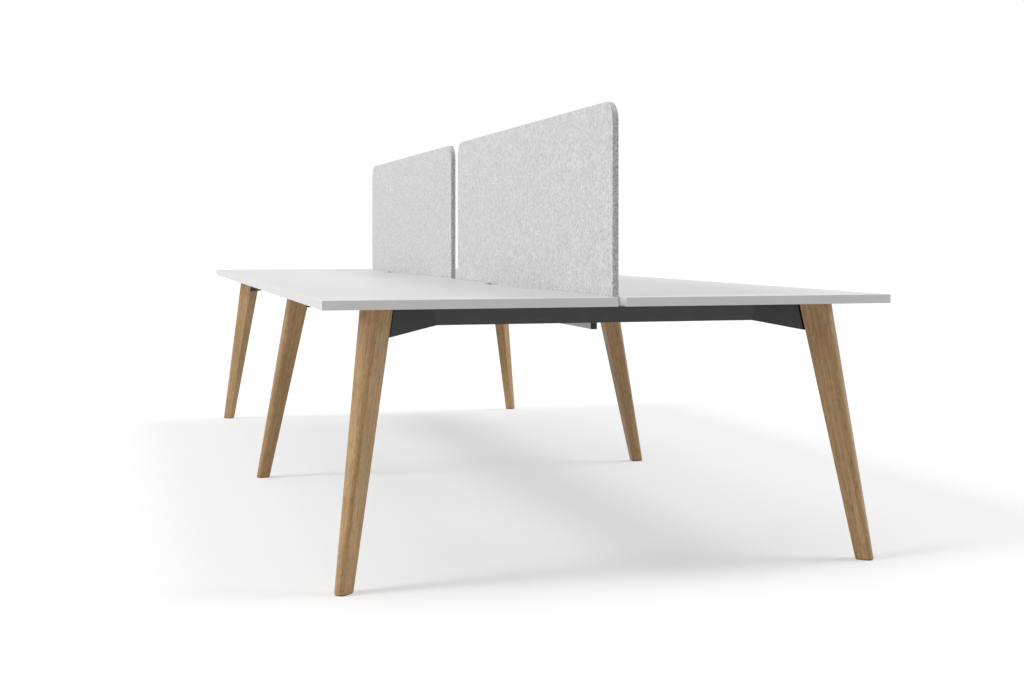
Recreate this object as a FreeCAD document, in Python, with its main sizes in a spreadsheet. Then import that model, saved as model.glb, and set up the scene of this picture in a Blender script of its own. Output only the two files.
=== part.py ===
"""Four-person bench desk: two bays in line, worktops on both sides of felt screens, splayed oak legs.

X runs across the desk, Y along it and Z up. The origin is on the floor, under the middle of the desk.
Lengths are in millimetres.
"""
import FreeCAD
import Part
import Sketcher
import math
import os

# Driving dimensions, written to the spreadsheet under the same names
SIZES = {
    # Worktops
    "desk_length": 3800,
    "desk_width": 1600,
    "desk_height": 750,
    "top_thick": 25,
    "aisle_gap": 22,
    "bay_joint": 2,
    "band_thick": 2,
    "band_round": 1.5,
    "scallop_mouth": 780,
    "scallop_floor": 560,
    "scallop_depth": 56,
    "scallop_round": 40,
    # Felt screens and their brackets
    "screen_inset": 54.5,
    "screen_thick": 18,
    "screen_rise": 530,
    "screen_round": 60,
    "tongue_inset": 182,
    "tongue_drop": 74,
    "cap_thick": 8,
    "cap_round": 6,
    "tab_thick": 4,
    "tab_length": 30,
    "tab_high": 56,
    "ear_reach": 42,
    "ear_length": 30,
    "ear_thick": 3,
    # Legs: the foot centres stand in from the edges of the worktops
    "corner_inset_side": 58,
    "corner_inset_end": 39,
    "middle_inset_side": 44,
    "leg_splay": 141,
    "leg_top_width": 82,
    "leg_top_thick": 63,
    "leg_top_round": 26,
    "leg_foot_width": 46,
    "leg_foot_thick": 34,
    "leg_foot_round": 14,
    # Levelling glides
    "glide_thick": 3,
    "glide_inset": 1.5,
    "glide_chamfer": 1,
    "stud_radius": 4,
    "stud_length": 34,
    "stud_seat": 2,
    "stud_point": 1,
    "insert_radius": 6,
    "insert_length": 24,
    "stud_room": 14,
    # Cross-beams and gussets
    "beam_deep": 40,
    "beam_high": 53,
    "beam_wall": 2,
    "beam_setback": 188,
    "corner_gusset_run": 150,
    "middle_gusset_run": 144,
    "beam_lean": 14,
    "gusset_high": 80,
    "gusset_wide": 60,
    "gusset_wall": 2.5,
    "flange_thick": 4,
    "leg_pad_thick": 6,
    # Bolts of the legs
    "leg_bolt_radius": 4,
    "leg_bolt_length": 38,
    "leg_bolt_head_radius": 6.5,
    "leg_bolt_head": 8,
    "leg_bolt_drop": 22,
    "leg_bolt_pitch": 33,
    "leg_nut_radius": 6,
    "leg_nut_length": 25,
    "leg_bore_depth": 36,
    # Rails
    "rail_inset": 50,
    "rail_wide": 40,
    "rail_high": 40,
    "rail_wall": 2,
    "plate_wide": 80,
    "plate_thick": 4,
    "plate_bolt_pitch": 60,
    "rail_bolt_radius": 3,
    "rail_bolt_length": 14,
    "rail_bolt_head_radius": 5.25,
    "rail_bolt_head": 3.3,
    "rail_nut_radius": 4.5,
    "rail_nut_length": 11,
    # Wood screws
    "screw_radius": 2,
    "screw_bite": 14,
    "screw_head_radius": 4.5,
    "screw_head": 3,
    "driver_radius": 7,
    # Clearances
    "fit_clear": 0.05,
    "bolt_clear": 0.3,
    "overrun": 5,
    "match_within": 0.01,
}

# Places of the four screws along a rail, as shares of its length
SCREW_SHARES = (-0.42, -0.14, 0.14, 0.42)

UP = FreeCAD.Vector(0, 0, 1)
ACROSS = FreeCAD.Vector(0, 1, 0)

doc = FreeCAD.newDocument("bench_desk")
sheet = doc.addObject("Spreadsheet::Sheet", "Sizes")
for row, (alias, number) in enumerate(SIZES.items(), start=1):
    sheet.set(f"A{row}", alias)
    sheet.set(f"B{row}", str(number))
    sheet.setAlias(f"B{row}", alias)
doc.recompute()


class Size:
    """A length or a ratio, with its value and the spreadsheet expression that gives it."""

    def __init__(self, value, text):
        self.value = value
        self.text = text

    def __add__(self, other):
        return Size(self.value + other.value, f"({self.text} + {other.text})")

    def __sub__(self, other):
        return Size(self.value - other.value, f"({self.text} - {other.text})")

    def __neg__(self):
        return Size(-self.value, f"(0 - {self.text})")

    def __mul__(self, other):
        if isinstance(other, Size):
            return Size(self.value * other.value, f"({self.text} * {other.text})")
        return Size(self.value * other, f"({self.text} * {other})")

    def __truediv__(self, other):
        if isinstance(other, Size):
            return Size(self.value / other.value, f"({self.text} / {other.text})")
        return Size(self.value / other, f"({self.text} / {other})")

    def root(self):
        return Size(math.sqrt(self.value), f"sqrt({self.text})")


ZERO = Size(0, "0")
ONE = Size(1, "1")


def size(alias):
    return Size(float(sheet.get(alias)), f"Sizes.{alias}")


# Sizes that several pieces share
half_length = size("desk_length") / 2
half_width = size("desk_width") / 2
under_top = size("desk_height") - size("top_thick")
top_length = (size("desk_length") - size("bay_joint")) / 2
top_depth = (size("desk_width") - size("aisle_gap")) / 2
bay_centre = (top_length + size("bay_joint")) / 2
beam_front = half_length - size("beam_setback")
beam_back = beam_front - size("beam_deep")
beam_centre = (beam_front + beam_back) / 2
beam_under = under_top - size("beam_high")
half_beam_deep = size("beam_deep") / 2
rail_length = beam_back - half_beam_deep
rail_centre = (beam_back + half_beam_deep) / 2
half_plate_pitch = size("plate_bolt_pitch") / 2
screw_hole = size("screw_radius") + size("fit_clear")
screen_half = top_length / 2 - size("screen_inset")
tongue_end = screen_half - size("tongue_inset")
cap_end = tongue_end + size("cap_thick")
tab_low = -(size("tongue_drop") + size("tab_high")) / 2
ear_screw_x = (size("screen_thick") + size("ear_reach")) / 2
ear_screw_y = cap_end - size("ear_length") / 2

# A leg's inner face at the top, measured outwards from its foot, sets the ends of the beams and the rails
inner_top = -size("leg_splay") - size("leg_top_width") / 2
diagonal = (ONE / 2).root()
corner_foot_x = half_width - size("corner_inset_side")
corner_foot_y = half_length - size("corner_inset_end")
middle_foot_x = half_width - size("middle_inset_side")
end_beam_half = corner_foot_x + inner_top * diagonal - size("corner_gusset_run")
middle_beam_half = middle_foot_x + inner_top - size("middle_gusset_run")
rail_offset = middle_beam_half - size("rail_inset")

# Which end and side a place is on
ENDS = {"front": -1, "rear": 1}
SIDES = {"left": -1, "right": 1}


def bind(thing, path, amount):
    thing.setExpression(path, amount.text)


def new_body(label, turn=0, x=ZERO, y=ZERO, z=ZERO):
    """An empty body at its place, turned about the upright axis by a number of degrees."""
    body = doc.addObject("PartDesign::Body", label)
    body.Label = label
    spot = FreeCAD.Vector(x.value, y.value, z.value)
    body.Placement = FreeCAD.Placement(spot, FreeCAD.Rotation(UP, turn))
    bind(body, "Placement.Base.x", x)
    bind(body, "Placement.Base.y", y)
    bind(body, "Placement.Base.z", z)
    return body


def new_sketch(body, plane="XY_Plane", offset=ZERO):
    """A sketch on one of the body's own planes, moved along the plane's normal."""
    sketch = body.newObject("Sketcher::SketchObject", f"{body.Label}_sketch")
    origin_plane = [item for item in body.Origin.OriginFeatures if item.Role == plane][0]
    sketch.AttachmentSupport = [(origin_plane, "")]
    sketch.MapMode = "FlatFace"
    bind(sketch, "AttachmentOffset.Base.z", offset)
    return sketch


def tie(sketch, kind, element, point, amount):
    """Holds one coordinate of a point at an expression of the spreadsheet."""
    index = sketch.addConstraint(Sketcher.Constraint(kind, -1, 1, element, point, amount.value))
    sketch.setExpression(f"Constraints[{index}]", amount.text)


def outline(sketch, points, arcs=None):
    """A closed line through the points, anticlockwise; arcs holds the radius of each round step."""
    arcs = arcs or {}
    first = sketch.GeometryCount
    spots = [FreeCAD.Vector(x.value, y.value, 0) for x, y in points]
    count = len(spots)
    for step, start in enumerate(spots):
        end = spots[(step + 1) % count]
        if step in arcs:
            sketch.addGeometry(quarter_arc(start, end, arcs[step].value), False)
        else:
            sketch.addGeometry(Part.LineSegment(start, end), False)
    for step in range(count):
        joined = Sketcher.Constraint("Coincident", first + step, 2, first + (step + 1) % count, 1)
        sketch.addConstraint(joined)
    for step, (x, y) in enumerate(points):
        tie(sketch, "DistanceX", first + step, 1, x)
        tie(sketch, "DistanceY", first + step, 1, y)
    for step, radius in arcs.items():
        index = sketch.addConstraint(Sketcher.Constraint("Radius", first + step, radius.value))
        sketch.setExpression(f"Constraints[{index}]", radius.text)


def quarter_arc(start, end, radius):
    """The quarter circle that turns left from start to end."""
    across = end - start
    centre = (start + end) * 0.5 + UP.cross(across) * 0.5
    begin = math.atan2(start.y - centre.y, start.x - centre.x)
    circle = Part.Circle(centre, UP, radius)
    return Part.ArcOfCircle(circle, begin, begin + math.pi / 2)


def rectangle(sketch, low_x, low_y, high_x, high_y):
    outline(sketch, [(low_x, low_y), (high_x, low_y), (high_x, high_y), (low_x, high_y)])


def circle(sketch, x, y, radius):
    """A circle tied to its place and radius."""
    element = sketch.GeometryCount
    sketch.addGeometry(Part.Circle(FreeCAD.Vector(x.value, y.value, 0), UP, radius.value), False)
    tie(sketch, "DistanceX", element, 3, x)
    tie(sketch, "DistanceY", element, 3, y)
    index = sketch.addConstraint(Sketcher.Constraint("Radius", element, radius.value))
    sketch.setExpression(f"Constraints[{index}]", radius.text)


def pad(body, sketch, length, both_ways=False):
    feature = body.newObject("PartDesign::Pad", f"{body.Label}_pad")
    feature.Profile = sketch
    feature.SideType = "Symmetric" if both_ways else "One side"
    bind(feature, "Length", length)
    return feature


def pocket(body, sketch, length, upwards=False, both_ways=False):
    feature = body.newObject("PartDesign::Pocket", f"{body.Label}_pocket")
    feature.Profile = sketch
    feature.SideType = "Symmetric" if both_ways else "One side"
    feature.Reversed = upwards
    bind(feature, "Length", length)
    return feature


def dress(body, kind, wanted, path, amount):
    """Softens the edges of the body's last feature that wanted accepts."""
    doc.recompute()
    base = body.Tip
    names = [f"Edge{index}" for index, edge in enumerate(base.Shape.Edges, start=1) if wanted(edge)]
    if not names:
        raise ValueError(f"no edge to soften on {body.Label}")
    feature = body.newObject(kind, f"{body.Label}_soft")
    feature.Base = (base, names)
    bind(feature, path, amount)


def fillet(body, wanted, radius):
    dress(body, "PartDesign::Fillet", wanted, "Radius", radius)


def upright_at(x, y):
    """Tells the upright edges that stand at x and at y, on either side of the middle."""
    near = size("match_within").value

    def wanted(edge):
        low = edge.Vertexes[0].Point
        high = edge.Vertexes[-1].Point
        is_upright = math.hypot(low.x - high.x, low.y - high.y) < near
        return is_upright and abs(low.x - x.value) < near and abs(abs(low.y) - y.value) < near
    return wanted


def group(label, shapes):
    """Separate solids of one kind in one node."""
    feature = doc.addObject("Part::Feature", label)
    feature.Label = label
    feature.Shape = Part.makeCompound(shapes)
    feature.Placement = FreeCAD.Placement()


# Worktops and their edge bands


def worktop_outline(inset):
    """Half of a bay's table from above, its inner edge on Y, drawn in by inset all around."""
    mouth = size("scallop_mouth") / 2
    floor = size("scallop_floor") / 2
    depth = size("scallop_depth")
    end = top_length / 2
    slope = (mouth - floor) / depth
    shift = inset * ((slope * slope + ONE).root() - slope)
    corners = [
        (inset, inset - end), (top_depth - inset, inset - end), (top_depth - inset, end - inset),
        (inset, end - inset), (inset, mouth + shift), (depth + inset, floor + shift),
        (depth + inset, -(floor + shift)), (inset, -(mouth + shift)),
    ]
    return corners, mouth + shift, floor + shift


def round_scallop(body, inset):
    """Rounds the four bends of the scallop, alike on the board and on the band around it."""
    _, mouth, floor = worktop_outline(inset)
    fillet(body, upright_at(inset, mouth), size("scallop_round") - inset)
    fillet(body, upright_at(size("scallop_depth") + inset, floor), size("scallop_round") + inset)


def on_rim(shape):
    """Tells the outer edges of a ring's upper and lower faces."""
    flats = [face for face in shape.Faces if abs(face.normalAt(0, 0).z) > 0.99]
    rims = [edge for face in flats for edge in face.OuterWire.Edges]
    return lambda edge: any(edge.isSame(rim) for rim in rims)


def make_worktop(end, side):
    """One board with its band; the bay's own Y turns round with the left-hand boards."""
    inset = size("band_thick")
    place = {
        "turn": 0 if SIDES[side] > 0 else 180,
        "x": size("aisle_gap") / 2 * SIDES[side],
        "y": bay_centre * ENDS[end],
        "z": under_top,
    }

    board = new_body(f"worktop_{end}_{side}", **place)
    sketch = new_sketch(board)
    corners, _, _ = worktop_outline(inset)
    outline(sketch, corners)
    pad(board, sketch, size("top_thick"))
    round_scallop(board, inset)
    holes = new_sketch(board)
    rail_line = rail_offset - size("aisle_gap") / 2
    rail_shift = (rail_centre - bay_centre) * ENDS[end] * SIDES[side]
    for share in SCREW_SHARES:
        circle(holes, rail_line, rail_shift + rail_length * share, screw_hole)
    for way in (-1, 1):
        circle(holes, ear_screw_x - size("aisle_gap") / 2, ear_screw_y * way, screw_hole)
    pocket(board, holes, size("screw_bite"), upwards=True)

    band = new_body(f"edge_band_{end}_{side}", **place)
    sketch = new_sketch(band)
    outer, _, _ = worktop_outline(ZERO)
    outline(sketch, outer)
    outline(sketch, corners)
    pad(band, sketch, size("top_thick"))
    round_scallop(band, ZERO)
    round_scallop(band, inset)
    doc.recompute()
    fillet(band, on_rim(band.Tip.Shape), size("band_round"))


# Felt screens and their brackets


def make_screen(end):
    """A felt board: the panel above the worktops and a shorter tongue below them."""
    screen = new_body(f"screen_{end}", y=bay_centre * ENDS[end], z=under_top)
    half = screen_half
    top = size("top_thick") + size("screen_rise")
    sketch = new_sketch(screen, "YZ_Plane")
    outline(sketch, [
        (-tongue_end, -size("tongue_drop")), (tongue_end, -size("tongue_drop")), (tongue_end, ZERO),
        (half, ZERO), (half, top), (-half, top), (-half, ZERO), (-tongue_end, ZERO),
    ])
    pad(screen, sketch, size("screen_thick"), both_ways=True)
    near = size("match_within").value

    def top_corner(edge):
        low = edge.Vertexes[0].Point
        high = edge.Vertexes[-1].Point
        runs_across = abs(low.y - high.y) < near and abs(low.z - high.z) < near
        return runs_across and abs(low.z - top.value) < near
    fillet(screen, top_corner, size("screen_round"))
    slots = new_sketch(screen, "YZ_Plane")
    slot_end = tongue_end - size("tab_length") - size("fit_clear")
    slot_low = tab_low - size("fit_clear")
    slot_high = tab_low + size("tab_high") + size("fit_clear")
    rectangle(slots, slot_end, slot_low, tongue_end, slot_high)
    rectangle(slots, -tongue_end, slot_low, -slot_end, slot_high)
    pocket(screen, slots, size("tab_thick") + size("fit_clear") * 2, both_ways=True)


def make_screen_bracket(end, nearness, way):
    """A cap on one end of a tongue, with a tab into the felt and an ear under each worktop."""
    turn = 0 if way > 0 else 180
    bracket = new_body(f"screen_bracket_{end}_{nearness}", turn, y=bay_centre * ENDS[end], z=under_top)
    half = size("screen_thick") / 2
    bend = size("cap_round")
    sketch = new_sketch(bracket, offset=-size("tongue_drop"))
    outline(sketch, [
        (-half, tongue_end), (half, tongue_end), (half, cap_end - bend),
        (half - bend, cap_end), (bend - half, cap_end), (-half, cap_end - bend),
    ], arcs={2: bend, 4: bend})
    pad(bracket, sketch, size("tongue_drop"))
    tab = new_sketch(bracket, offset=tab_low)
    half_tab = size("tab_thick") / 2
    rectangle(tab, -half_tab, tongue_end - size("tab_length"), half_tab, tongue_end)
    pad(bracket, tab, size("tab_high"))
    ears = new_sketch(bracket, offset=-size("ear_thick"))
    ear_start = cap_end - size("ear_length")
    reach = half + size("ear_reach")
    outline(ears, [
        (-reach, ear_start), (-half, ear_start), (-half, tongue_end), (half, tongue_end),
        (half, ear_start), (reach, ear_start), (reach, cap_end), (-reach, cap_end),
    ])
    pad(bracket, ears, size("ear_thick"))
    holes = new_sketch(bracket, offset=-size("ear_thick"))
    for hand in (-1, 1):
        circle(holes, ear_screw_x * hand, ear_screw_y, size("screw_radius") + size("bolt_clear"))
    pocket(bracket, holes, size("ear_thick"), upwards=True)


# Legs, in a frame of their own: its origin on the floor under the foot, its X pointing out from the desk


class LegPlace:
    """Where one leg stands, and the beam end that its gusset starts from."""

    def __init__(self, name, turn, x, y, beam_y, beam_half, side):
        self.name = name
        self.turn = turn
        self.x = x
        self.y = y
        self.beam_y = beam_y
        self.beam_half = beam_half
        self.side = side

    def placement(self):
        spot = FreeCAD.Vector(self.x.value, self.y.value, 0)
        return FreeCAD.Placement(spot, FreeCAD.Rotation(UP, self.turn))


def leg_places():
    places = []
    for side, hand in SIDES.items():
        for end, way in ENDS.items():
            turn = 45 * way if hand > 0 else 180 - 45 * way
            x = corner_foot_x * hand
            y = corner_foot_y * way
            places.append(LegPlace(f"{end}_{side}", turn, x, y, beam_centre * way, end_beam_half, hand))
        turn = 0 if hand > 0 else 180
        x = middle_foot_x * hand
        places.append(LegPlace(f"middle_{side}", turn, x, ZERO, ZERO, middle_beam_half, hand))
    return places


leg_rise = under_top - size("glide_thick")
inner_foot = -size("leg_foot_width") / 2
inner_slope = (inner_foot - inner_top) / leg_rise
lean_angle = math.degrees(math.atan(inner_slope.value))


def inner_face(z, standoff):
    """How far out the plane lies that stands off the leg's inner face, at height z."""
    stretch = (inner_slope * inner_slope + ONE).root()
    return inner_top + (under_top - z) * inner_slope - standoff * stretch


def leg_section(sketch, middle, width, thick, radius):
    """Level section of a leg: square towards the desk, rounded on the outside."""
    inner = middle - width / 2
    outer = middle + width / 2
    side = thick / 2
    outline(sketch, [
        (inner, -side), (outer - radius, -side), (outer, radius - side),
        (outer, side - radius), (outer - radius, side), (inner, side),
    ], arcs={1: radius, 3: radius})


def leg_bolt_heights():
    upper = under_top - size("leg_bolt_drop")
    return upper, upper - size("leg_bolt_pitch")


def make_leg(place):
    leg = new_body(f"leg_{place.name}", place.turn, place.x, place.y)
    foot = new_sketch(leg, offset=size("glide_thick"))
    leg_section(foot, ZERO, size("leg_foot_width"), size("leg_foot_thick"), size("leg_foot_round"))
    head = new_sketch(leg, offset=under_top)
    shift = -size("leg_splay")
    leg_section(head, shift, size("leg_top_width"), size("leg_top_thick"), size("leg_top_round"))
    loft = leg.newObject("PartDesign::AdditiveLoft", f"{leg.Label}_loft")
    loft.Profile = foot
    loft.Sections = [head]
    loft.Ruled = True
    bore = new_sketch(leg, offset=size("glide_thick"))
    circle(bore, ZERO, ZERO, size("insert_radius") + size("fit_clear"))
    pocket(leg, bore, size("insert_length"), upwards=True)
    room = new_sketch(leg, offset=size("glide_thick") + size("insert_length"))
    circle(room, ZERO, ZERO, size("stud_radius") + size("bolt_clear"))
    pocket(leg, room, size("stud_room"), upwards=True)
    for height in leg_bolt_heights():
        hole = new_sketch(leg)
        spot = FreeCAD.Vector(inner_face(height, ZERO).value, 0, height.value)
        hole.AttachmentOffset = FreeCAD.Placement(spot, FreeCAD.Rotation(ACROSS, 90 - lean_angle))
        bind(hole, "AttachmentOffset.Base.x", inner_face(height, ZERO))
        bind(hole, "AttachmentOffset.Base.z", height)
        hole.setExpression("AttachmentOffset.Rotation.Angle", f"90 deg - atan({inner_slope.text})")
        circle(hole, ZERO, ZERO, size("leg_nut_radius") + size("fit_clear"))
        pocket(leg, hole, size("leg_bore_depth"), upwards=True)


# Levelling glides


def make_glide(place):
    """The pad that follows the outline of the foot, and the stud that screws it up and down."""
    glide = new_body(f"foot_pad_{place.name}", place.turn, place.x, place.y)
    sketch = new_sketch(glide)
    inset = size("glide_inset")
    width = size("leg_foot_width") - inset * 2
    thick = size("leg_foot_thick") - inset * 2
    leg_section(sketch, ZERO, width, thick, size("leg_foot_round") - inset)
    pad(glide, sketch, size("glide_thick"))
    seat = new_sketch(glide, offset=size("glide_thick"))
    circle(seat, ZERO, ZERO, size("stud_radius") + size("fit_clear"))
    pocket(glide, seat, size("stud_seat"))
    dress(glide, "PartDesign::Chamfer", on_floor, "Size", size("glide_chamfer"))

    stud_foot = size("glide_thick") - size("stud_seat")
    stud = new_body(f"foot_stud_{place.name}", place.turn, place.x, place.y, stud_foot)
    sketch = new_sketch(stud, "XZ_Plane")
    radius = size("stud_radius")
    point = size("stud_point")
    outline(sketch, [
        (ZERO, ZERO), (radius, ZERO), (radius, size("stud_length") - point),
        (radius - point, size("stud_length")), (ZERO, size("stud_length")),
    ])
    turned = stud.newObject("PartDesign::Revolution", f"{stud.Label}_turned")
    turned.Profile = sketch
    turned.ReferenceAxis = (sketch, ["V_Axis"])
    turned.Angle = 360


def on_floor(edge):
    return edge.BoundBox.ZMax < size("match_within").value


# Cross-beams and rails


def make_beam(name, y, half_foot, nut_sides):
    """A square tube whose ends lean out towards the top, with nut holes where the rails meet it."""
    beam = new_body(f"beam_{name}", y=y, z=beam_under)
    high = size("beam_high")
    wall = size("beam_wall")
    half_head = half_foot + size("beam_lean")
    front = new_sketch(beam, "XZ_Plane")
    outline(front, [(-half_foot, ZERO), (half_foot, ZERO), (half_head, high), (-half_head, high)])
    pad(beam, front, size("beam_deep"), both_ways=True)
    inside = new_sketch(beam, "YZ_Plane")
    rectangle(inside, wall - half_beam_deep, wall, half_beam_deep - wall, high - wall)
    pocket(beam, inside, half_head * 2 + size("overrun"), both_ways=True)
    for way in nut_sides:
        holes = new_sketch(beam, "XZ_Plane", offset=half_beam_deep * -way)
        for x in rail_bolt_lines():
            circle(holes, x, high / 2, size("rail_nut_radius") + size("fit_clear"))
        pocket(beam, holes, wall, upwards=way > 0)


def rail_bolt_lines():
    """The X places of the bolts that hold the rails."""
    return [rail_offset * hand + half_plate_pitch * step for hand in (-1, 1) for step in (-1, 1)]


def make_rail(end, side):
    """A tube along the bay with a plate welded on each end."""
    x = rail_offset * SIDES[side]
    rail = new_body(f"rail_{end}_{side}", x=x, y=rail_centre * ENDS[end], z=under_top)
    wide = size("rail_wide") / 2
    high = size("rail_high")
    wall = size("rail_wall")
    plate = size("plate_thick")
    section = new_sketch(rail, "XZ_Plane")
    rectangle(section, -wide, -high, wide, ZERO)
    pad(rail, section, rail_length, both_ways=True)
    for start in (-rail_length / 2, rail_length / 2 - plate):
        end_plate = new_sketch(rail, "XZ_Plane", offset=-start)
        rectangle(end_plate, -size("plate_wide") / 2, -size("beam_high"), size("plate_wide") / 2, ZERO)
        feature = pad(rail, end_plate, plate)
        feature.Reversed = True
    inside = new_sketch(rail, "XZ_Plane")
    rectangle(inside, wall - wide, wall - high, wide - wall, -wall)
    pocket(rail, inside, rail_length - plate * 2, both_ways=True)
    bolts = new_sketch(rail, "XZ_Plane")
    bolt_hole = size("rail_bolt_radius") + size("bolt_clear")
    for step in (-1, 1):
        circle(bolts, half_plate_pitch * step, -size("beam_high") / 2, bolt_hole)
    pocket(rail, bolts, rail_length + size("overrun"), both_ways=True)
    uppers = new_sketch(rail)
    lowers = new_sketch(rail, offset=-high)
    for share in SCREW_SHARES:
        circle(uppers, ZERO, rail_length * share, size("screw_radius") + size("bolt_clear"))
        circle(lowers, ZERO, rail_length * share, size("driver_radius"))
    pocket(rail, uppers, wall)
    pocket(rail, lowers, wall, upwards=True)


# Gussets, pads and bolts between the frame and the legs


def standoff_point(height, standoff, across):
    """A point on the plane that stands off a leg's inner face."""
    return FreeCAD.Vector(inner_face(height, standoff).value, across, height.value)


def quad(points):
    return Part.makePolygon(points + points[:1])


def leg_quad(standoff, half_wide, low, high):
    return quad([
        standoff_point(low, standoff, -half_wide.value),
        standoff_point(low, standoff, half_wide.value),
        standoff_point(high, standoff, half_wide.value),
        standoff_point(high, standoff, -half_wide.value),
    ])


def beam_quad(place, inset):
    """The beam's end face, drawn in by inset, seen from the leg's frame."""
    to_leg = place.placement().inverse()
    points = []
    for height_share, way in ((0, -1), (0, 1), (1, 1), (1, -1)):
        rise = inset.value + (size("beam_high") - inset * 2).value * height_share
        out = place.beam_half.value + size("beam_lean").value * rise / size("beam_high").value
        y = place.beam_y.value + way * place.side * (half_beam_deep - inset).value
        points.append(to_leg.multVec(FreeCAD.Vector(out * place.side, y, beam_under.value + rise)))
    return quad(points)


def bolt_axis():
    """Square to a leg's inner face, pointing into the leg."""
    lean = math.radians(lean_angle)
    return FreeCAD.Vector(math.cos(lean), 0, math.sin(lean))


def bolt_point(height, standoff):
    """A point on the line of a leg bolt, standing off the leg's inner face."""
    return standoff_point(height, ZERO, 0) - bolt_axis() * standoff.value


def make_gusset(place):
    """A folded box from the beam's end to the leg, closed by its flange at the leg."""
    wall = size("gusset_wall")
    pad_face = size("leg_pad_thick")
    flange_back = pad_face + size("flange_thick")
    low = under_top - size("gusset_high")
    half_wide = size("gusset_wide") / 2
    outside_end = leg_quad(pad_face, half_wide, low, under_top)
    outside = Part.makeLoft([beam_quad(place, ZERO), outside_end], True, True)
    cavity_end = leg_quad(flange_back, half_wide - wall, low + wall, under_top - wall)
    cavity = Part.makeLoft([beam_quad(place, size("beam_wall")), cavity_end], True, True)
    shape = outside.cut(cavity)
    radius = size("leg_bolt_radius") + size("bolt_clear")
    for height in leg_bolt_heights():
        start = bolt_point(height, flange_back + size("overrun"))
        length = size("flange_thick") + size("overrun") * 2
        shape = shape.cut(Part.makeCylinder(radius.value, length.value, start, bolt_axis()))
    gusset = doc.addObject("Part::Feature", f"gusset_{place.name}")
    gusset.Label = f"gusset_{place.name}"
    gusset.Shape = shape
    gusset.Placement = place.placement()


def placed(shape, place):
    moved = shape.copy()
    moved.Placement = place.placement().multiply(shape.Placement)
    return moved


def make_leg_pad():
    """The thin plate between a gusset and its leg, with its two bolt holes."""
    low = under_top - size("gusset_high")
    half_wide = size("gusset_wide") / 2
    near_leg = leg_quad(ZERO, half_wide, low, under_top)
    near_gusset = leg_quad(size("leg_pad_thick"), half_wide, low, under_top)
    shape = Part.makeLoft([near_gusset, near_leg], True, True)
    radius = size("leg_bolt_radius") + size("bolt_clear")
    for height in leg_bolt_heights():
        start = bolt_point(height, size("leg_pad_thick") + size("overrun"))
        length = size("leg_pad_thick") + size("overrun") * 2
        shape = shape.cut(Part.makeCylinder(radius.value, length.value, start, bolt_axis()))
    return shape


def bolt(radius, length, head_radius, head, seat, axis):
    """A bolt whose head's underside is at seat and whose shank runs along axis."""
    shank = Part.makeCylinder(radius.value, length.value, seat, axis)
    cap = Part.makeCylinder(head_radius.value, head.value, seat, axis * -1)
    return shank.fuse(cap).removeSplitter()


def sleeve(outer, inner, length, start, axis):
    """A plain threaded insert, its bore clear of the bolt."""
    body = Part.makeCylinder(outer.value, length.value, start, axis)
    return body.cut(Part.makeCylinder(inner.value, length.value, start, axis))


def make_leg_fasteners(places):
    pads = []
    bolts = []
    nuts = []
    flange_back = size("leg_pad_thick") + size("flange_thick")
    for place in places:
        pads.append(placed(make_leg_pad(), place))
        for height in leg_bolt_heights():
            seat = bolt_point(height, flange_back)
            shape = bolt(size("leg_bolt_radius"), size("leg_bolt_length"), size("leg_bolt_head_radius"),
                         size("leg_bolt_head"), seat, bolt_axis())
            bolts.append(placed(shape, place))
            bore = size("leg_bolt_radius") + size("fit_clear")
            start = bolt_point(height, ZERO)
            shape = sleeve(size("leg_nut_radius"), bore, size("leg_nut_length"), start, bolt_axis())
            nuts.append(placed(shape, place))
    group("leg_pads", pads)
    group("leg_bolts", bolts)
    group("leg_nuts", nuts)


def make_foot_inserts(places):
    bore = size("stud_radius") + size("fit_clear")
    start = FreeCAD.Vector(0, 0, size("glide_thick").value)
    shape = sleeve(size("insert_radius"), bore, size("insert_length"), start, UP)
    group("foot_inserts", [placed(shape, place) for place in places])


def make_rail_fasteners():
    """Bolts and threaded nuts at both ends of each rail."""
    bolts = []
    nuts = []
    middle = (under_top - size("beam_high") / 2).value
    for way in ENDS.values():
        for face, outwards in ((beam_back, way), (half_beam_deep, -way)):
            axis = ACROSS * outwards
            for x in rail_bolt_lines():
                wall_spot = FreeCAD.Vector(x.value, face.value * way, middle)
                seat = wall_spot - axis * size("plate_thick").value
                bolts.append(bolt(size("rail_bolt_radius"), size("rail_bolt_length"),
                                  size("rail_bolt_head_radius"), size("rail_bolt_head"), seat, axis))
                bore = size("rail_bolt_radius") + size("fit_clear")
                outer = size("rail_nut_radius")
                nuts.append(sleeve(outer, bore, size("rail_nut_length"), wall_spot, axis))
    group("rail_bolts", bolts)
    group("rail_nuts", nuts)


def wood_screw(x, y, seat):
    """A screw driven up from its seat into the board above."""
    length = under_top + size("screw_bite") - size("fit_clear") - seat
    spot = FreeCAD.Vector(x.value, y.value, seat.value)
    return bolt(size("screw_radius"), length, size("screw_head_radius"), size("screw_head"), spot, UP)


def make_wood_screws():
    rail_screws = []
    bracket_screws = []
    for way in ENDS.values():
        for hand in SIDES.values():
            for share in SCREW_SHARES:
                y = rail_centre * way + rail_length * share
                x = rail_offset * hand
                rail_screws.append(wood_screw(x, y, under_top - size("rail_wall")))
            for step in (-1, 1):
                y = bay_centre * way + ear_screw_y * step
                bracket_screws.append(wood_screw(ear_screw_x * hand, y, under_top - size("ear_thick")))
    group("top_screws", rail_screws)
    group("bracket_screws", bracket_screws)


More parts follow.
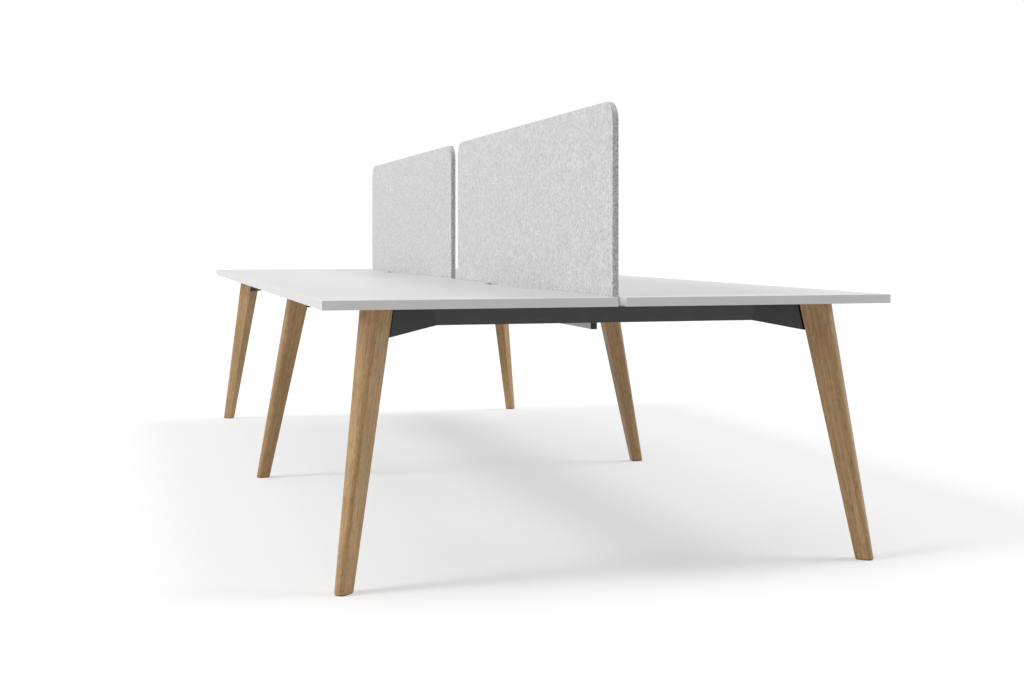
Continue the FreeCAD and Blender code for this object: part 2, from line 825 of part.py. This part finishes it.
def build():
    for end in ENDS:
        for side in SIDES:
            make_worktop(end, side)
            make_rail(end, side)
        make_screen(end)
        make_screen_bracket(end, "near", -1)
        make_screen_bracket(end, "far", 1)
    make_beam("front", -beam_centre, end_beam_half, [1])
    make_beam("middle", ZERO, middle_beam_half, [-1, 1])
    make_beam("rear", beam_centre, end_beam_half, [-1])
    places = leg_places()
    for place in places:
        make_leg(place)
        make_glide(place)
        make_gusset(place)
    make_leg_fasteners(places)
    make_foot_inserts(places)
    make_rail_fasteners()
    make_wood_screws()


def export():
    """Checks every object, then writes each piece to a file of its own."""
    doc.recompute()
    for item in doc.Objects:
        if "Invalid" in item.State or "Error" in item.State:
            raise RuntimeError(f"{item.Label} failed: {item.State}")
    pieces = [item for item in doc.Objects if item.TypeId in ("PartDesign::Body", "Part::Feature")]
    for item in pieces:
        if item.Shape.isNull() or not item.Shape.isValid():
            raise RuntimeError(f"{item.Label} has no valid shape")
    os.makedirs("parts", exist_ok=True)
    for item in pieces:
        item.Shape.exportStep(os.path.join("parts", f"{item.Label}.step"))
    print(f"{len(pieces)} pieces written")


build()
export()
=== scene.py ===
"""Office workstation desk: felt screens, finishes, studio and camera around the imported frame."""
import math
from typing import NamedTuple
import bmesh
import bpy
from mathutils import Matrix, Vector


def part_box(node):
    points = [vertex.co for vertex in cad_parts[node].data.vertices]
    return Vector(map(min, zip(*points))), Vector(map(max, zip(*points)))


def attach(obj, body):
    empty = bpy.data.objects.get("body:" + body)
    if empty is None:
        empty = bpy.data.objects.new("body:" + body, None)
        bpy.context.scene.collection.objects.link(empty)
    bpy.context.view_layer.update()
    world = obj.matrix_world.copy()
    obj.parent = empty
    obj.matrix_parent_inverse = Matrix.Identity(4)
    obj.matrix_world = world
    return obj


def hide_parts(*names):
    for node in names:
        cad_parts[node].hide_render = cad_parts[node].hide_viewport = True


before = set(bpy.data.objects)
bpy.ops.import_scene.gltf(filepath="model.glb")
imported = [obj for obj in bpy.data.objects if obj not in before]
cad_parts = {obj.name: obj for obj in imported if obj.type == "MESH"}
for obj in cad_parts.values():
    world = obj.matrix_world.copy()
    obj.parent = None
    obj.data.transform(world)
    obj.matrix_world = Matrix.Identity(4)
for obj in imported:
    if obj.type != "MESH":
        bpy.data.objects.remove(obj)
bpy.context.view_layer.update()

# Sizes that the wood grain follows, in metres
LEG_SPLAY = 0.141
LEG_RISE = 0.722
CORNER_FOOT = (0.742, 1.861)
MIDDLE_FOOT_X = 0.756

# Sizes of the felt screens, in metres
SCREEN_CORNER = 0.060
SCREEN_ARRIS = 0.0014
TONGUE_INSET = 0.182
TONGUE_DROP = 0.074
TAB_SLOT_WIDE = 0.0041
TAB_SLOT_HIGH = 0.0561
TAB_SLOT_DEEP = 0.03005
SAME_PLACE = 1e-6

# How far from the middle of a screen its core ends and its pressed skin begins, in metres
FELT_CORE = 0.0074
FELT_SKIN = 0.0088

# Flats around each rounded corner and each softened edge, and the widest bend that is shaded smooth
CORNER_FLATS = 14
ARRIS_FLATS = 4
SMOOTH_BEND = math.radians(35.0)

# How light the wood of each leg is
LEG_TONES = {
    "front_left": 0.95, "front_right": 0.85, "middle_left": 0.895,
    "middle_right": 0.85, "rear_left": 0.93, "rear_right": 1.01,
}

# How light the graphite coat is on the beams and rails, and on the gussets, whose darker coat is painted
# shade
BEAM_TONE = 0.95
GUSSET_PAINTED_SHADE_TONE = 0.73

# Shades along a growth ring of the oak, and in the cloudy graphite coat
OAK_SHADES = [
    (0.0, (0.545, 0.338, 0.156)), (0.50, (0.615, 0.395, 0.190)),
    (0.88, (0.655, 0.432, 0.216)), (1.0, (0.560, 0.348, 0.160)),
]
GRAPHITE_SHADES = [(0.3, (0.055, 0.0552, 0.0560)), (0.7, (0.067, 0.0672, 0.0680))]

# Small knots: the leg, the middle of the knot in the leg's own axes, and its reach along each of them
OAK_KNOTS = {
    "front_right": ((-0.002, -0.0265, 0.147), (0.0055, 0.030, 0.0095)),
    "front_left": ((0.018, 0.003, 0.045), (0.030, 0.0042, 0.0075)),
}
KNOT_RINGS = [
    (0.10, (0.50, 0.40, 0.33)), (0.45, (0.80, 0.74, 0.68)),
    (0.60, (0.66, 0.58, 0.50)), (1.0, 1.0),
]


class Grain(NamedTuple):
    """One layer of marks in the oak: how tight it is across and along the leg, and how it shades it."""

    across: float
    along: float
    detail: float
    roughness: float
    distortion: float
    weight: float
    dark: tuple
    light: tuple


OAK_GRAIN = {
    "cloud": Grain(30.0, 3.4, 4.0, 0.6, 0.0, 0.70, (0.30, (0.76, 0.73, 0.68)), (0.70, 1.08)),
    "streaks": Grain(190.0, 6.5, 5.0, 0.68, 0.35, 0.50, (0.32, (0.70, 0.66, 0.60)), (0.62, 1.08)),
    "hairs": Grain(480.0, 24.0, 3.0, 0.65, 0.0, 0.60, (0.32, (0.72, 0.68, 0.64)), (0.56, 1.04)),
    "pores": Grain(900.0, 40.0, 2.0, 0.7, 0.0, 0.55, (0.30, (0.46, 0.40, 0.34)), (0.44, 1.0)),
    "figure": Grain(210.0, 40.0, 4.0, 0.65, 0.9, 0.80, (0.32, (0.68, 0.63, 0.56)), (0.58, 1.05)),
    "flecks": Grain(130.0, 46.0, 3.0, 0.62, 0.6, 0.80, (0.27, (0.42, 0.34, 0.26)), (0.36, 1.0)),
}

# The floor: half its width in metres, its colour and its glow where it is seen, and its colour for the
# light that it throws back onto the desk
FLOOR_REACH = 60.0
FLOOR_SEEN = (0.65, 0.65, 0.653, 1.0)
FLOOR_GLOW = 0.41
FLOOR_BOUNCE = (0.72, 0.72, 0.72, 1.0)

# Light from all round, and the background where it is seen
ROOM_COLOUR = (1.0, 0.995, 0.99, 1.0)
ROOM_LIGHT = 0.20
BACKGROUND_WHITE = (1.0, 1.0, 1.0, 1.0)

# Lamps: the way towards each, how many degrees wide it looks, and its light on a surface that faces it
LAMPS = {
    "left_window": ((-0.94, -0.19, 0.33), 16.0, 0.25),
    "left_lamp": ((-0.766, 0.02, 0.643), 14.0, 0.31),
    "right_lamp": ((0.475, 0.04, 0.879), 26.0, 0.26),
    "right_window": ((0.96, -0.20, 0.28), 26.0, 0.24),
    "overhead_lamp": ((-0.16, 0.36, 0.91), 50.0, 0.25),
}

# The camera: sensor and lens in millimetres, shift as a share of the sensor's width, place and reach
# in metres, level and turn in degrees
SENSOR_WIDE = 36.0
LENS_LENGTH = 50.08
VIEW_SHIFT = -0.0982
CAMERA_PLACE = (-1.3055, -5.4693, 0.9038)
CAMERA_TURN = -15.653
CAMERA_LEVEL = 90.0
VIEW_REACH = 200.0

# The colour sockets of a mixing node, which share their names with its other sockets
MIX_FIRST = 6
MIX_SECOND = 7
MIX_RESULT = 2


def toned(shades, tone):
    """Shades along a ramp, all made lighter or darker."""
    return [(spot, tuple(tone * part for part in shade)) for spot, shade in shades]


class Finish:
    """A node material for one finish, with short ways to add the nodes it is made of."""

    def __init__(self, name):
        self.material = bpy.data.materials.new(name)
        self.material.use_nodes = True
        self.tree = self.material.node_tree
        self.tree.nodes.clear()
        output = self.tree.nodes.new("ShaderNodeOutputMaterial")
        self.shader = self.tree.nodes.new("ShaderNodeBsdfPrincipled")
        self.tree.links.new(self.shader.outputs["BSDF"], output.inputs["Surface"])
        coordinates = self.tree.nodes.new("ShaderNodeTexCoord")
        self.place = coordinates.outputs["Object"]

    def set(self, socket, value):
        self.shader.inputs[socket].default_value = value

    def feed(self, socket, source):
        self.tree.links.new(source, self.shader.inputs[socket])

    def turned(self, rotation, location):
        """Object coordinates turned and moved to a piece's own axes."""
        node = self.tree.nodes.new("ShaderNodeMapping")
        node.inputs["Rotation"].default_value = rotation
        node.inputs["Location"].default_value = location
        self.tree.links.new(self.place, node.inputs["Vector"])
        return node.outputs["Vector"]

    def stretched(self, place, scale):
        """Coordinates scaled along each axis: a larger number gives tighter marks."""
        node = self.tree.nodes.new("ShaderNodeMapping")
        node.inputs["Scale"].default_value = scale
        self.tree.links.new(place, node.inputs["Vector"])
        return node.outputs["Vector"]

    def noise(self, place, scale=1.0, detail=3.0, roughness=0.55, distortion=0.0):
        node = self.tree.nodes.new("ShaderNodeTexNoise")
        node.inputs["Scale"].default_value = scale
        node.inputs["Detail"].default_value = detail
        node.inputs["Roughness"].default_value = roughness
        node.inputs["Distortion"].default_value = distortion
        self.tree.links.new(place, node.inputs["Vector"])
        return node.outputs["Fac"]

    def bands(self, place, scale, distortion, detail, detail_scale):
        node = self.tree.nodes.new("ShaderNodeTexWave")
        node.wave_type = "BANDS"
        node.bands_direction = "X"
        node.wave_profile = "SAW"
        node.inputs["Scale"].default_value = scale
        node.inputs["Distortion"].default_value = distortion
        node.inputs["Detail"].default_value = detail
        node.inputs["Detail Scale"].default_value = detail_scale
        self.tree.links.new(place, node.inputs["Vector"])
        return node.outputs["Fac"]

    def ramp(self, value, stops):
        """Colours, or greys given as one number, at places along a value."""
        node = self.tree.nodes.new("ShaderNodeValToRGB")
        elements = node.color_ramp.elements
        while len(elements) < len(stops):
            elements.new(0.5)
        for element, (position, colour) in zip(elements, stops):
            element.position = position
            shades = colour if isinstance(colour, tuple) else (colour, colour, colour)
            element.color = (*shades, 1.0)
        self.tree.links.new(value, node.inputs["Fac"])
        return node.outputs["Color"]

    def spread(self, value, low, high, from_low=0.3, from_high=0.7):
        """A value spread from one range onto another, and held at the ends of it."""
        node = self.tree.nodes.new("ShaderNodeMapRange")
        node.inputs["From Min"].default_value = from_low
        node.inputs["From Max"].default_value = from_high
        node.inputs["To Min"].default_value = low
        node.inputs["To Max"].default_value = high
        self.tree.links.new(value, node.inputs["Value"])
        return node.outputs["Result"]

    def mixed(self, how, factor, first, second):
        """Two colours mixed; the factor is a number or a socket."""
        node = self.tree.nodes.new("ShaderNodeMix")
        node.data_type = "RGBA"
        node.blend_type = how
        if isinstance(factor, float):
            node.inputs["Factor"].default_value = factor
        else:
            self.tree.links.new(factor, node.inputs["Factor"])
        self.tree.links.new(first, node.inputs[MIX_FIRST])
        self.tree.links.new(second, node.inputs[MIX_SECOND])
        return node.outputs[MIX_RESULT]

    def layered(self, colour, weight, value, dark, light):
        """A colour with marks over it, which shade it from dark to light along a value."""
        return self.mixed("MULTIPLY", weight, colour, self.ramp(value, [dark, light]))

    def summed(self, first, second, weight):
        """The first value plus the second one, weighted."""
        node = self.tree.nodes.new("ShaderNodeMath")
        node.operation = "MULTIPLY_ADD"
        self.tree.links.new(second, node.inputs[0])
        node.inputs[1].default_value = weight
        self.tree.links.new(first, node.inputs[2])
        return node.outputs["Value"]

    def skin_of_board(self, core, skin):
        """One on the broad faces of a board along the middle of the desk, nought inside its core."""
        parts = self.tree.nodes.new("ShaderNodeSeparateXYZ")
        self.tree.links.new(self.place, parts.inputs["Vector"])
        off_middle = self.tree.nodes.new("ShaderNodeMath")
        off_middle.operation = "ABSOLUTE"
        self.tree.links.new(parts.outputs["X"], off_middle.inputs[0])
        return self.spread(off_middle.outputs["Value"], 0.0, 1.0, core, skin)

    def off_knot(self, place, middle, reach, roughened):
        """How far a point lies from the middle of a knot: nought there and one at its ragged edge."""
        node = self.tree.nodes.new("ShaderNodeMapping")
        node.inputs["Scale"].default_value = [1.0 / length for length in reach]
        node.inputs["Location"].default_value = [-spot / length for spot, length in zip(middle, reach)]
        self.tree.links.new(place, node.inputs["Vector"])
        away = self.tree.nodes.new("ShaderNodeVectorMath")
        away.operation = "LENGTH"
        self.tree.links.new(node.outputs["Vector"], away.inputs[0])
        return self.summed(away.outputs["Value"], self.spread(roughened, -0.3, 0.3), 1.0)

    def raised(self, height, distance, strength):
        """A fine relief in the surface, with its height in metres."""
        node = self.tree.nodes.new("ShaderNodeBump")
        node.inputs["Strength"].default_value = strength
        node.inputs["Distance"].default_value = distance
        self.tree.links.new(height, node.inputs["Height"])
        self.feed("Normal", node.outputs["Normal"])


def worktop_melamine():
    """White melamine: a fine pearl texture, faint wiping marks and a soft shine."""
    finish = Finish("worktop_melamine")
    wiped = finish.noise(finish.stretched(finish.place, (1.0, 0.35, 1.0)), scale=9.0, detail=4.0,
                         distortion=0.4)
    pearl = finish.noise(finish.place, scale=950.0, detail=2.0)
    colour = finish.ramp(wiped, [(0.30, (0.680, 0.671, 0.678)), (0.70, (0.712, 0.704, 0.710))])
    finish.feed("Base Color", finish.layered(colour, 0.10, pearl, (0.35, 0.86), (0.65, 1.0)))
    finish.feed("Roughness", finish.spread(wiped, 0.30, 0.40))
    finish.set("Specular IOR Level", 0.12)
    finish.raised(pearl, 0.00012, 0.35)
    return finish.material


def edge_banding():
    """Plastic edge band in the worktop's white, a little warmer, with fine drawn lines along it."""
    finish = Finish("edge_banding")
    drawn = finish.noise(finish.stretched(finish.place, (6.0, 6.0, 900.0)), detail=2.0)
    cloud = finish.noise(finish.place, scale=14.0)
    colour = finish.ramp(cloud, [(0.3, (0.735, 0.728, 0.722)), (0.7, (0.775, 0.770, 0.765))])
    finish.feed("Base Color", finish.layered(colour, 0.12, drawn, (0.3, 0.8), (0.7, 1.0)))
    finish.feed("Roughness", finish.spread(drawn, 0.36, 0.48))
    finish.raised(drawn, 0.00008, 0.3)
    return finish.material


def pressed_felt():
    """Light grey pressed felt: matted fibres, faint upright streaks, speckled cut edges partly in painted
    shade.
    """
    finish = Finish("pressed_felt")
    streak = finish.noise(finish.stretched(finish.place, (170.0, 75.0, 58.0)), roughness=0.6)
    mat = finish.noise(finish.stretched(finish.place, (1.0, 0.62, 0.84)), scale=170.0, detail=2.0,
                       distortion=0.5)
    fibre = finish.noise(finish.stretched(finish.place, (1.0, 0.60, 0.75)), scale=900.0, roughness=0.65,
                         distortion=1.2)
    stray = finish.noise(finish.stretched(finish.place, (1.0, 0.60, 0.90)), scale=300.0, detail=1.0,
                         distortion=0.8)
    colour = finish.ramp(streak, [(0.30, (0.730, 0.730, 0.732)), (0.70, (0.858, 0.858, 0.860))])
    colour = finish.layered(colour, 1.0, mat, (0.28, 0.74), (0.70, 1.10))
    colour = finish.layered(colour, 0.50, fibre, (0.28, 0.70), (0.62, 1.08))
    colour = finish.layered(colour, 0.65, stray, (0.26, 0.44), (0.36, 1.0))
    # The cut edges are speckled darker: partly their coarse cut fibres, partly painted shade on the end
    # faces
    cut = finish.layered(colour, 1.0, stray, (0.32, 0.54), (0.62, 1.00))
    finish.feed("Base Color", finish.mixed("MIX", finish.skin_of_board(FELT_CORE, FELT_SKIN), cut, colour))
    finish.set("Roughness", 0.96)
    finish.set("Specular IOR Level", 0.18)
    finish.set("Sheen Weight", 0.20)
    finish.set("Sheen Roughness", 0.55)
    height = finish.summed(finish.summed(fibre, streak, 0.5), mat, 1.3)
    finish.raised(height, 0.0012, 0.8)
    return finish.material


def oak_for(leg, axes, foot):
    """Oiled oak with its grain along this leg: growth bands, and the layers of marks over them."""
    finish = Finish(f"oak_{leg}")
    along = finish.turned(axes.to_euler("XYZ"), -(axes @ foot))
    growth = finish.bands(finish.stretched(along, (1.0, 0.55, 0.030)), scale=17.0, distortion=6.5,
                          detail=3.0, detail_scale=1.6)
    colour = finish.ramp(growth, toned(OAK_SHADES, LEG_TONES[leg]))
    marks = {}
    for name, grain in OAK_GRAIN.items():
        place = finish.stretched(along, (grain.across, grain.across, grain.along))
        marks[name] = finish.noise(place, detail=grain.detail, roughness=grain.roughness,
                                   distortion=grain.distortion)
        colour = finish.layered(colour, grain.weight, marks[name], grain.dark, grain.light)
    if leg in OAK_KNOTS:
        knot = finish.off_knot(along, *OAK_KNOTS[leg], marks["figure"])
        colour = finish.mixed("MULTIPLY", 1.0, colour, finish.ramp(knot, KNOT_RINGS))
    finish.feed("Base Color", colour)
    finish.feed("Roughness", finish.spread(marks["streaks"], 0.54, 0.40))
    finish.set("Specular IOR Level", 0.45)
    finish.raised(finish.summed(marks["pores"], marks["hairs"], 0.6), 0.00035, 0.5)
    return finish.material


def graphite_powder_coat(name, tone):
    """Graphite powder coat on the steel frame: fine orange peel and a low, uneven shine."""
    finish = Finish(name)
    peel = finish.noise(finish.place, scale=620.0, detail=2.0, roughness=0.5)
    cloud = finish.noise(finish.place, scale=11.0)
    colour = finish.ramp(cloud, toned(GRAPHITE_SHADES, tone))
    finish.feed("Base Color", finish.layered(colour, 0.30, peel, (0.3, 0.75), (0.7, 1.1)))
    finish.feed("Roughness", finish.spread(cloud, 0.46, 0.58))
    finish.set("Specular IOR Level", 0.42)
    finish.raised(peel, 0.00022, 0.4)
    return finish.material


def bracket_black_coat():
    """Matt black coat on the screen brackets."""
    finish = Finish("bracket_black_coat")
    peel = finish.noise(finish.place, scale=700.0, detail=2.0)
    colour = finish.ramp(peel, [(0.3, (0.010, 0.010, 0.011)), (0.7, (0.017, 0.017, 0.018))])
    finish.feed("Base Color", colour)
    finish.feed("Roughness", finish.spread(peel, 0.42, 0.56))
    finish.raised(peel, 0.0002, 0.4)
    return finish.material


def leg_pad_rubber_and_painted_shade():
    """Near-black rubber between gussets and legs, dull, slightly dusty, its blackness partly painted shade.
    """
    finish = Finish("leg_pad_rubber_and_painted_shade")
    dust = finish.noise(finish.place, scale=260.0, detail=4.0, roughness=0.65)
    # Near black: partly the rubber's own colour, partly painted shade in the gap between gusset and leg
    colour = finish.ramp(dust, [(0.35, (0.003, 0.003, 0.003)), (0.70, (0.007, 0.007, 0.007))])
    finish.feed("Base Color", colour)
    finish.feed("Roughness", finish.spread(dust, 0.72, 0.88))
    finish.set("Specular IOR Level", 0.06)
    finish.raised(dust, 0.0002, 0.4)
    return finish.material


def glide_plastic():
    """Dark grey moulded plastic under the feet, rubbed paler in patches."""
    finish = Finish("glide_plastic")
    rubbed = finish.noise(finish.place, scale=180.0, detail=4.0, roughness=0.6)
    colour = finish.ramp(rubbed, [(0.35, (0.028, 0.028, 0.029)), (0.72, (0.060, 0.060, 0.061))])
    finish.feed("Base Color", colour)
    finish.feed("Roughness", finish.spread(rubbed, 0.42, 0.62))
    finish.raised(rubbed, 0.0002, 0.35)
    return finish.material


def zinc_plated_steel():
    """Zinc-plated screws, bolts, nuts, studs and inserts, with fine turning lines."""
    finish = Finish("zinc_plated_steel")
    lines = finish.noise(finish.stretched(finish.place, (60.0, 60.0, 2400.0)), detail=2.0)
    cloud = finish.noise(finish.place, scale=150.0)
    finish.feed("Base Color", finish.ramp(cloud, [(0.3, (0.50, 0.51, 0.53)), (0.7, (0.64, 0.65, 0.66))]))
    finish.set("Metallic", 1.0)
    finish.feed("Roughness", finish.spread(lines, 0.26, 0.44))
    finish.raised(lines, 0.00006, 0.35)
    return finish.material


def leg_axes():
    """For each leg, the turn that stands its grain upright and the middle of its foot."""
    places = {}
    for end, way in (("front", -1), ("middle", 0), ("rear", 1)):
        for side, hand in (("left", -1), ("right", 1)):
            outward = Vector((hand, way, 0.0)).normalized()
            foot = Vector((CORNER_FOOT[0] * hand, CORNER_FOOT[1] * way, 0.0))
            if way == 0:
                foot = Vector((MIDDLE_FOOT_X * hand, 0.0, 0.0))
            grain = (outward * -LEG_SPLAY + Vector((0.0, 0.0, LEG_RISE))).normalized()
            across = Vector((0.0, 0.0, 1.0)).cross(outward)
            places[f"{end}_{side}"] = (Matrix((across.cross(grain), across, grain)), foot)
    return places


def paint(node, material):
    """Gives a CAD node its finish through the object's own material slots."""
    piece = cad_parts[node]
    if not piece.material_slots:
        piece.data.materials.append(None)
    for slot in piece.material_slots:
        slot.link = "OBJECT"
        slot.material = material


def smooth_shade(piece):
    """Shades a piece smooth, apart from its sharp bends."""
    for face in piece.data.polygons:
        face.use_smooth = True
    piece.data.set_sharp_from_angle(angle=SMOOTH_BEND)


def corners_of(extruded):
    """The corners among what an extrusion made."""
    return [item for item in extruded["geom"] if isinstance(item, bmesh.types.BMVert)]


def cut_tab_slots(bm, low, high):
    """Sinks a narrow slot into each end of the tongue, where the bracket's tab goes in."""
    margin = (high[0] - low[0] - TAB_SLOT_WIDE) / 2
    shrink = TAB_SLOT_HIGH / (TONGUE_DROP - margin * 2)
    for end, inward in ((low[1] + TONGUE_INSET, 1.0), (high[1] - TONGUE_INSET, -1.0)):
        mouth = [face for face in bm.faces
                 if all(abs(corner.co.y - end) < SAME_PLACE for corner in face.verts)]
        bmesh.ops.inset_region(bm, faces=mouth, thickness=margin, use_even_offset=True)
        middle = Vector((0.0, end, low[2] + TONGUE_DROP / 2))
        bmesh.ops.scale(bm, verts=mouth[0].verts[:], vec=(1.0, 1.0, shrink),
                        space=Matrix.Translation(-middle))
        sunk = bmesh.ops.extrude_face_region(bm, geom=mouth)
        bmesh.ops.translate(bm, verts=corners_of(sunk), vec=(0.0, inward * TAB_SLOT_DEEP, 0.0))
        bmesh.ops.delete(bm, geom=mouth, context="FACES_ONLY")


def felt_screen(node, material):
    """One pressed-felt screen: rounded top corners, a tongue below, tab slots and soft cut edges."""
    low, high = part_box(node)
    shoulder = low[2] + TONGUE_DROP
    tongue_low = low[1] + TONGUE_INSET
    tongue_high = high[1] - TONGUE_INSET
    outline = [
        (tongue_low, low[2]), (tongue_high, low[2]), (tongue_high, shoulder), (high[1], shoulder),
        (high[1], high[2]), (low[1], high[2]), (low[1], shoulder), (tongue_low, shoulder),
    ]
    bm = bmesh.new()
    board = bm.faces.new([bm.verts.new((low[0], y, z)) for y, z in outline])
    top_corners = [corner for corner in board.verts if abs(corner.co.z - high[2]) < SAME_PLACE]
    bmesh.ops.bevel(bm, geom=top_corners, offset=SCREEN_CORNER, offset_type="OFFSET",
                    segments=CORNER_FLATS, affect="VERTICES", profile=0.5, material=-1)
    grown = bmesh.ops.extrude_face_region(bm, geom=bm.faces[:])
    bmesh.ops.translate(bm, verts=corners_of(grown), vec=(high[0] - low[0], 0.0, 0.0))
    cut_tab_slots(bm, low, high)
    bmesh.ops.recalc_face_normals(bm, faces=bm.faces[:])
    rims = [edge for edge in bm.edges for side in (low[0], high[0])
            if all(abs(corner.co.x - side) < SAME_PLACE for corner in edge.verts)]
    bmesh.ops.bevel(bm, geom=rims, offset=SCREEN_ARRIS, offset_type="OFFSET",
                    segments=ARRIS_FLATS, affect="EDGES", profile=0.5, material=-1)
    mesh = bpy.data.meshes.new(f"felt_{node}")
    bm.to_mesh(mesh)
    bm.free()
    piece = bpy.data.objects.new(f"felt_{node}", mesh)
    bpy.context.scene.collection.objects.link(piece)
    piece.data.materials.append(material)
    smooth_shade(piece)
    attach(piece, "desk")
    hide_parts(node)


def dress_desk():
    """Gives every CAD node its finish and puts the felt screens in place."""
    melamine = worktop_melamine()
    banding = edge_banding()
    beam_coat = graphite_powder_coat("beam_graphite", BEAM_TONE)
    # The gussets take a darker copy of the graphite coat: painted shade
    gusset_shaded_coat = graphite_powder_coat("gusset_graphite_painted_shade", GUSSET_PAINTED_SHADE_TONE)
    black_coat = bracket_black_coat()
    rubber = leg_pad_rubber_and_painted_shade()
    plastic = glide_plastic()
    zinc = zinc_plated_steel()
    felt = pressed_felt()
    legs = leg_axes()
    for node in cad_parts:
        leg = node.removeprefix("leg_")
        if leg in legs:
            paint(node, oak_for(leg, *legs[leg]))
        elif node.startswith("worktop_"):
            paint(node, melamine)
        elif node.startswith("edge_band_"):
            paint(node, banding)
        elif node.startswith(("beam_", "rail_front", "rail_rear")):
            paint(node, beam_coat)
        elif node.startswith("gusset_"):
            paint(node, gusset_shaded_coat)
        elif node.startswith("screen_bracket_"):
            paint(node, black_coat)
        elif node.startswith("screen_"):
            felt_screen(node, felt)
        elif node == "leg_pads":
            paint(node, rubber)
        elif node.startswith("foot_pad_"):
            paint(node, plastic)
        else:
            paint(node, zinc)


def seen_directly(tree):
    """One where a surface is seen by the camera, in a reflection or through glass."""
    path = tree.nodes.new("ShaderNodeLightPath")
    either = tree.nodes.new("ShaderNodeMath")
    either.operation = "MAXIMUM"
    tree.links.new(path.outputs["Is Camera Ray"], either.inputs[0])
    tree.links.new(path.outputs["Is Glossy Ray"], either.inputs[1])
    any_of = tree.nodes.new("ShaderNodeMath")
    any_of.operation = "MAXIMUM"
    tree.links.new(either.outputs["Value"], any_of.inputs[0])
    tree.links.new(path.outputs["Is Transmission Ray"], any_of.inputs[1])
    return any_of.outputs["Value"]


def studio_floor():
    """A wide pale floor that keeps the desk's soft shadow and runs out into the white background."""
    bm = bmesh.new()
    bmesh.ops.create_grid(bm, x_segments=1, y_segments=1, size=FLOOR_REACH)
    mesh = bpy.data.meshes.new("studio_floor")
    bm.to_mesh(mesh)
    bm.free()
    floor = bpy.data.objects.new("studio_floor", mesh)
    bpy.context.scene.collection.objects.link(floor)
    material = bpy.data.materials.new("studio_floor_white")
    material.use_nodes = True
    tree = material.node_tree
    tree.nodes.clear()
    output = tree.nodes.new("ShaderNodeOutputMaterial")
    shaded = tree.nodes.new("ShaderNodeBsdfDiffuse")
    shaded.inputs["Color"].default_value = FLOOR_SEEN
    glow = tree.nodes.new("ShaderNodeEmission")
    glow.inputs["Strength"].default_value = FLOOR_GLOW
    seen = tree.nodes.new("ShaderNodeAddShader")
    tree.links.new(shaded.outputs["BSDF"], seen.inputs[0])
    tree.links.new(glow.outputs["Emission"], seen.inputs[1])
    bounce = tree.nodes.new("ShaderNodeBsdfDiffuse")
    bounce.inputs["Color"].default_value = FLOOR_BOUNCE
    choice = tree.nodes.new("ShaderNodeMixShader")
    tree.links.new(seen_directly(tree), choice.inputs["Fac"])
    tree.links.new(bounce.outputs["BSDF"], choice.inputs[1])
    tree.links.new(seen.outputs["Shader"], choice.inputs[2])
    tree.links.new(choice.outputs["Shader"], output.inputs["Surface"])
    mesh.materials.append(material)


def studio_world():
    """Soft light from all round, and a white background where it is seen."""
    world = bpy.data.worlds.new("studio_world")
    bpy.context.scene.world = world
    world.use_nodes = True
    tree = world.node_tree
    tree.nodes.clear()
    output = tree.nodes.new("ShaderNodeOutputWorld")
    light = tree.nodes.new("ShaderNodeBackground")
    light.inputs["Color"].default_value = ROOM_COLOUR
    light.inputs["Strength"].default_value = ROOM_LIGHT
    white = tree.nodes.new("ShaderNodeBackground")
    white.inputs["Strength"].default_value = 1.0
    white.inputs["Color"].default_value = BACKGROUND_WHITE
    choice = tree.nodes.new("ShaderNodeMixShader")
    tree.links.new(seen_directly(tree), choice.inputs["Fac"])
    tree.links.new(light.outputs["Background"], choice.inputs[1])
    tree.links.new(white.outputs["Background"], choice.inputs[2])
    tree.links.new(choice.outputs["Shader"], output.inputs["Surface"])


def soft_sun(name, towards_lamp, width, strength):
    """A wide, even lamp far away in one direction, so that the floor is lit alike all over."""
    lamp = bpy.data.lights.new(name, "SUN")
    lamp.angle = math.radians(width)
    lamp.energy = strength * math.pi
    holder = bpy.data.objects.new(name, lamp)
    bpy.context.scene.collection.objects.link(holder)
    holder.rotation_euler = Vector(towards_lamp).to_track_quat("Z", "Y").to_euler()


def studio_camera():
    """Stands where the photograph was taken from: level, with the view shifted down."""
    camera = bpy.data.cameras.new("photo_camera")
    camera.sensor_fit = "HORIZONTAL"
    camera.sensor_width = SENSOR_WIDE
    camera.lens = LENS_LENGTH
    camera.shift_y = VIEW_SHIFT
    camera.clip_end = VIEW_REACH
    holder = bpy.data.objects.new("photo_camera", camera)
    bpy.context.scene.collection.objects.link(holder)
    holder.location = CAMERA_PLACE
    holder.rotation_euler = (math.radians(CAMERA_LEVEL), 0.0, math.radians(CAMERA_TURN))
    bpy.context.scene.camera = holder


bpy.context.scene.view_settings.view_transform = "Standard"
dress_desk()
studio_floor()
studio_world()
for lamp_name, lamp_values in LAMPS.items():
    soft_sun(lamp_name, *lamp_values)
studio_camera()
